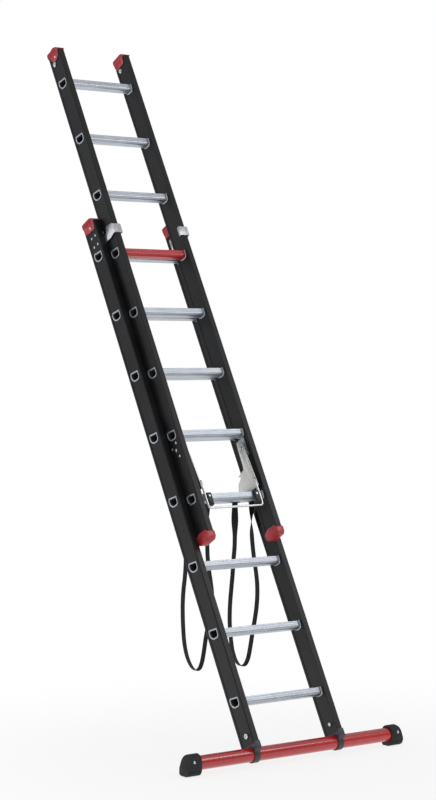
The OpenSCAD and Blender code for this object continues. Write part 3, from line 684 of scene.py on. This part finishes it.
def domed(radius, height, shank, back):
    # Rivet: a low dome with a flat brim outside, the shank through, and a flat upset head
    dome = [(height * np.sin(a), radius * np.cos(a) * 0.94, 0) for a in np.linspace(0.08, 1.35, 6)]
    return ([(back - 1.2, 0, 0), (back - 1.2, radius - 1.6, 0), (back - 0.9, radius - 1.0, 0),
             (back, radius - 0.9, 0), (back, shank, 0), (0, shank, 0), (0, radius, 0), (0.35, radius, 0)]
            + dome + [(height * 0.93, radius * 0.14, 0), (height * 0.80, 0, 0)])


baseOuter, baseInner = lay["baseHalf"] - 1.2, lay["baseHalf"] - lay["stileWidth"]
flyOuter, flyInner = lay["flyHalf"] - 1.2, lay["flyHalf"] - lay["stileWidth"]

places = [(y, fixings["bracketZ"] + z) for y in fixings["bracketYs"] for z in fixings["bracketZs"]]
fixingPiece("bracketRivets", "bracket_rivets", "base",
            [headAt(domed(*fixings["rivet"], baseInner - fixings["plate"] - baseOuter), baseOuter, y, z, s, False)
             for s, (y, z) in sides(places)])
places = [(fixings["bearing"][0] + a, fixings["bearing"][1] + b) for a, b in fixings["bearingAt"]]
fixingPiece("bearingRivets", "bearing_rivets", "fly",
            [headAt(domed(*fixings["rivet"], flyInner - fixings["plate"] - flyOuter), flyOuter, y, z, s, True)
             for s, (y, z) in sides(places)])


def capHeadScrew(radius, height, socket, depth, shank, back, nut=0.0, hexHead=0):
    # Screw head with rounded rim and a hexagon socket sunk in it, a shank, and a nut behind
    rings = []
    if nut:
        rings += [(back - nut, 0, 0), (back - nut, nut * 1.25, 6), (back, nut * 1.25, 6)]
    else:
        rings += [(back, 0, 0)]
    rings += [(back, shank, 0), (0, shank, 0), (0, radius - 0.2, hexHead), (0.3, radius, hexHead),
              (height - 0.9, radius, hexHead), (height - 0.3, radius - 0.35, hexHead), (height, radius - 1.0, 0),
              (height, socket + 0.5, 6), (height - 0.4, socket, 6), (height - depth, socket, 6),
              (height - depth - 0.3, socket * 0.5, 0), (height - depth - 0.3, 0, 0)]
    return rings


endY, endZ = fixings["endBolt"]
fixingPiece("endBolts", "end_bolts", "base",
            [headAt(capHeadScrew(9.5, 5, 4, 3, 4, -(lay["stileWidth"] - 2.4), 5.6),
                    baseOuter, endY, endZ, s, False, 36) for s in (-1, 1)])

screwY, screwZ = fixings["capScrew"]
for name, node, body, half, fly in (("baseCapScrews", "base_cap_screws", "base", lay["baseHalf"], False),
                                    ("flyCapScrews", "fly_cap_screws", "fly", lay["flyHalf"], True)):
    fixingPiece(name, node, body,
                [headAt(capHeadScrew(5, 2, 1.6, 1.1, 2.4, -14 - fixings["cheek"]), half + fixings["cheek"],
                        screwY, screwZ, s, fly) for s in (-1, 1)])

hingeY, hingeZ = fixings["hingeBolt"]


def hingeRings():
    # From the nut's end inside the stile to the plain end of the bolt outside
    w = lay["stileWidth"]
    return [(-w - 6, 0, 0), (-w - 6, 4.4, 0), (-w - 5.4, 5, 0), (-w - 5, 5, 0), (-w - 5, 7.2, 6),
            (-w - 4.4, 7.9, 6), (-w - 1.4, 7.9, 6), (-w - 1.4, 8.4, 0), (-w - 0.2, 8.6, 0), (-w, 8.4, 0),
            (-w, 5, 0), (0, 5, 0), (0, 10.3, 0), (0.3, 10.6, 0), (1.2, 10.6, 0), (1.6, 10.2, 0),
            (1.6, 5.1, 0), (4.8, 5.0, 0), (5.4, 4.4, 0), (5.4, 0, 0)]


fixingPiece("hingeBolts", "hinge_bolts", "fly",
            [headAt(hingeRings(), lay["flyHalf"], hingeY, hingeZ, s, True, 36) for s in (-1, 1)])

blockX, blockZ = fixings["block"]
fixingPiece("blockRivets", "block_rivets", "fly",
            [turned([(-8.4, 0, 0), (-8.4, 2.4, 0), (0, 2.4, 0), (0, 5, 0), (0.4, 5, 0), (1.0, 4.5, 0),
                     (1.5, 3.2, 0), (1.8, 1.6, 0), (1.6, 0, 0)],
                    toWorld((s * blockX, -3.6, blockZ), True), turnWorld((0, -1, 0)), (1, 0, 0))
             for s in (-1, 1)])

footScrew = {"x": 446.0, "tilt": 20.0, "seat": 26.0}
tilt = radians(footScrew["tilt"])
fixingPiece("footScrews", "foot_screws", "base",
            [turned([(-7.7, 0, 0), (-7.7, 2.4, 0), (0, 2.4, 0), (0, 4.8, 0), (0.3, 5, 0), (1.9, 5, 0),
                     (2.6, 4.2, 0), (2.6, 2.2, 6), (2.3, 1.9, 6), (1.2, 1.8, 6), (1.1, 0, 0)],
                    np.array((s * footScrew["x"], -footScrew["seat"] * cos(tilt),
                              lay["barHeight"] + footScrew["seat"] * sin(tilt))) * mm,
                    (0, -cos(tilt), sin(tilt)), (1, 0, 0)) for s in (-1, 1)])
print("fixings made")

# ---- release rod ----

rod = {"x": 120.0, "y": -59.5, "z": 868.0, "radius": 4.0, "bend": 9.0, "rise": 107.0}


def rodPath():
    # Up one side, round a quarter bend, straight across and up the other side
    x, b = rod["x"], rod["bend"]
    a = np.linspace(0, pi / 2, 9)
    bend = np.stack([x - b + b * np.cos(a), b - b * np.sin(a)], -1)
    up = np.stack([np.full(7, x), np.linspace(rod["rise"], b, 7)], -1)
    half = np.concatenate([up[:-1], bend])
    return np.concatenate([half, [[0.0, 0.0]], half[::-1] * (-1, 1)])


def rodShell(count=24):
    # A circle carried along the path: each point is centre + r (cos a side + sin a Y)
    path = rodPath()
    ahead = np.gradient(path, axis=0)
    ahead /= np.linalg.norm(ahead, axis=1)[:, None]
    side = np.stack([ahead[:, 1], -ahead[:, 0]], -1)
    a = np.linspace(0, 2 * pi, count, endpoint=False)
    radius = np.full(len(path), rod["radius"])
    radius[[0, -1]] *= 0.8
    ring = radius[:, None] * np.cos(a)[None]
    y = rod["y"] + radius[:, None] * np.sin(a)[None]
    points = toWorld(np.stack([path[:, :1] + ring * side[:, :1], y,
                               rod["z"] + path[:, 1:] + ring * side[:, 1:]], -1))
    ends = [np.broadcast_to(points[k].mean(0), (1, count, 3)) for k in (0, -1)]
    flat, faces = poleGrid(np.concatenate([ends[0], points, ends[1]]))
    return flat, faces, {}


rodPiece = shellMesh("releaseRod", [rodShell()], dress("release_rod"), "hooks",
                     ["release_rod"])
mergePoles(rodPiece)

# ---- moulded and pressed parts, with their edges rounded ----

rounded = {"caps": 1.2, "shoes": 1.4, "brackets": 0.6, "hooks": 0.7, "feet": 0.7, "collars": 1.0,
           "blocks": 1.0, "bearings": 0.5}

for name, node, width, body in (
        ("baseCapLeft", "base_cap_left", rounded["caps"], "base"),
        ("baseCapRight", "base_cap_right", rounded["caps"], "base"),
        ("flyCapLeft", "fly_cap_left", rounded["caps"], "fly"),
        ("flyCapRight", "fly_cap_right", rounded["caps"], "fly"),
        ("flyShoeLeft", "fly_foot_left", rounded["shoes"], "fly"),
        ("flyShoeRight", "fly_foot_right", rounded["shoes"], "fly"),
        ("guideBracketLeft", "guide_bracket_left", rounded["brackets"], "base"),
        ("guideBracketRight", "guide_bracket_right", rounded["brackets"], "base"),
        ("latchHookLeft", "hook_left", rounded["hooks"], "hooks"),
        ("latchHookRight", "hook_right", rounded["hooks"], "hooks"),
        ("barFootLeft", "foot_left", rounded["feet"], "base"),
        ("barFootRight", "foot_right", rounded["feet"], "base"),
        ("barCollarLeft", "collar_left", rounded["collars"], "base"),
        ("barCollarRight", "collar_right", rounded["collars"], "base"),
        ("latchBlockLeft", "latch_block_left", rounded["blocks"], "fly"),
        ("latchBlockRight", "latch_block_right", rounded["blocks"], "fly"),
        ("hookBearingLeft", "hook_bearing_left", rounded["bearings"], "fly"),
        ("hookBearingRight", "hook_bearing_right", rounded["bearings"], "fly")):
    bevelCopy(name, [node], width, body)
print("moulded parts made")

# ---- floor, light and surroundings ----

studio = {"floorRadius": 9.0, "key": 55.0, "rear": 40.0, "fill": 10.0}

world = bpy.data.worlds.new("studio")
bpy.context.scene.world = world
world.use_nodes = True
sky = Wire(world.node_tree)
height = sky.node("TexCoord", {}, {}).part(2)
shade = height.node("ValToRGB", {"stops": [(0.0, (0.45, 0.45, 0.46)), (0.42, (0.28, 0.285, 0.30)),
                                           (0.52, (0.25, 0.255, 0.275)), (0.72, (0.46, 0.465, 0.48)),
                                           (1.0, (0.75, 0.75, 0.75))]}, {0: height * 0.5 + 0.5})
seen = sky.node("LightPath", {}, {})
mixed = seen.node("Mix", {"data_type": "RGBA"}, {0: seen, 6: shade, 7: (1, 1, 1, 1)}, out=2)
world.node_tree.links.new(mixed.socket, world.node_tree.nodes["Background"].inputs[0])
world.node_tree.nodes["Background"].inputs[1].default_value = 1.0

floorMesh = bpy.data.meshes.new("floor")
a = np.linspace(0, 2 * pi, 96, endpoint=False)
rings = np.array([0.4, 1.0, 2.0, 4.0, studio["floorRadius"]])
spots = np.stack([rings[:, None] * np.cos(a), rings[:, None] * np.sin(a),
                  np.full((5, 96), -0.0005)], -1)
floorFaces = gridFaces(5, 96, False, True)
floorMesh.from_pydata(spots.reshape(-1, 3).tolist(), [], floorFaces.tolist() + [list(range(96))])
floor = bpy.data.objects.new("floor", floorMesh)
bpy.context.scene.collection.objects.link(floor)
floorLook = bpy.data.materials.new("paleFloor")
floorLook.use_nodes = True
tree = floorLook.node_tree
base = tree.nodes["Principled BSDF"]
base.inputs["Base Color"].default_value = (0.9, 0.9, 0.9, 1)
base.inputs["Roughness"].default_value = 0.8
at = place(tree)
far = at.node("VectorMath", {"operation": "LENGTH"}, {0: at}, out=1).step(0.3, 2.0)
glow = at.node("Emission", {}, {"Color": (1, 1, 1, 1), "Strength": 1.0})
blend = at.node("MixShader", {}, {0: far * 0.18 + 0.82, 1: Wire(tree, base.outputs[0]), 2: glow})
tree.links.new(blend.socket, tree.nodes["Material Output"].inputs[0])
floorMesh.materials.append(floorLook)


def softbox(name, spot, target, size, power):
    data = bpy.data.lights.new(name, "AREA")
    data.shape, data.size, data.size_y, data.energy = "RECTANGLE", size[0], size[1], power
    lamp = bpy.data.objects.new(name, data)
    bpy.context.scene.collection.objects.link(lamp)
    lamp.location = spot
    ahead = np.array(target, float) - np.array(spot, float)
    lamp.rotation_euler = (atan2(np.hypot(ahead[0], ahead[1]), -ahead[2]), 0,
                           atan2(ahead[1], ahead[0]) - pi / 2)
    lamp.visible_camera = False
    return lamp


softbox("keyLight", (3.2, -3.6, 4.6), (0, 0.4, 1.2), (2.4, 2.0), studio["key"])
softbox("rearLight", (-4.5, 4.5, 3.0), (0, 0.5, 1.2), (1.4, 3.0), studio["rear"])
softbox("fillLight", (-3.4, -5.4, 3.4), (0, 0.4, 1.2), (1.2, 1.2), studio["fill"])

settings = bpy.context.scene.view_settings
settings.view_transform = "Standard"
settings.look = "None"

print("object made, finishing")
